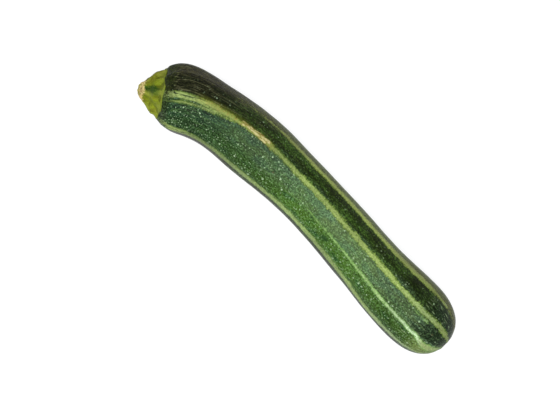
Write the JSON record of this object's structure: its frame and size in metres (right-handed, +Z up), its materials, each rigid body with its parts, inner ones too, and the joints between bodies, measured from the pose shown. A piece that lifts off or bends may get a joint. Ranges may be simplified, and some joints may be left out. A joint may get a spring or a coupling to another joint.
{
  "type": "courgette",
  "caption": "Whole courgette as picked: a long, slightly bent green fruit with pale stripes and the stub of its cut stem, lying on its side.",
  "frame": {"origin": "on the surface the courgette lies on, under the middle of its outline seen from above", "axes": "+X towards the blossom end, +Y towards the outer side of the bend at the stem end, +Z up"},
  "size_m": [0.2246, 0.0568, 0.0397],
  "materials": {
    "skin": "waxy, striped in dark, mid and pale green, with fine pale flecks",
    "stem": "fibrous olive green, with a dry tan cut face"
  },
  "bodies": {
    "root": {"fruit": "skin", "stem": "stem"}
  },
  "joints": []
}
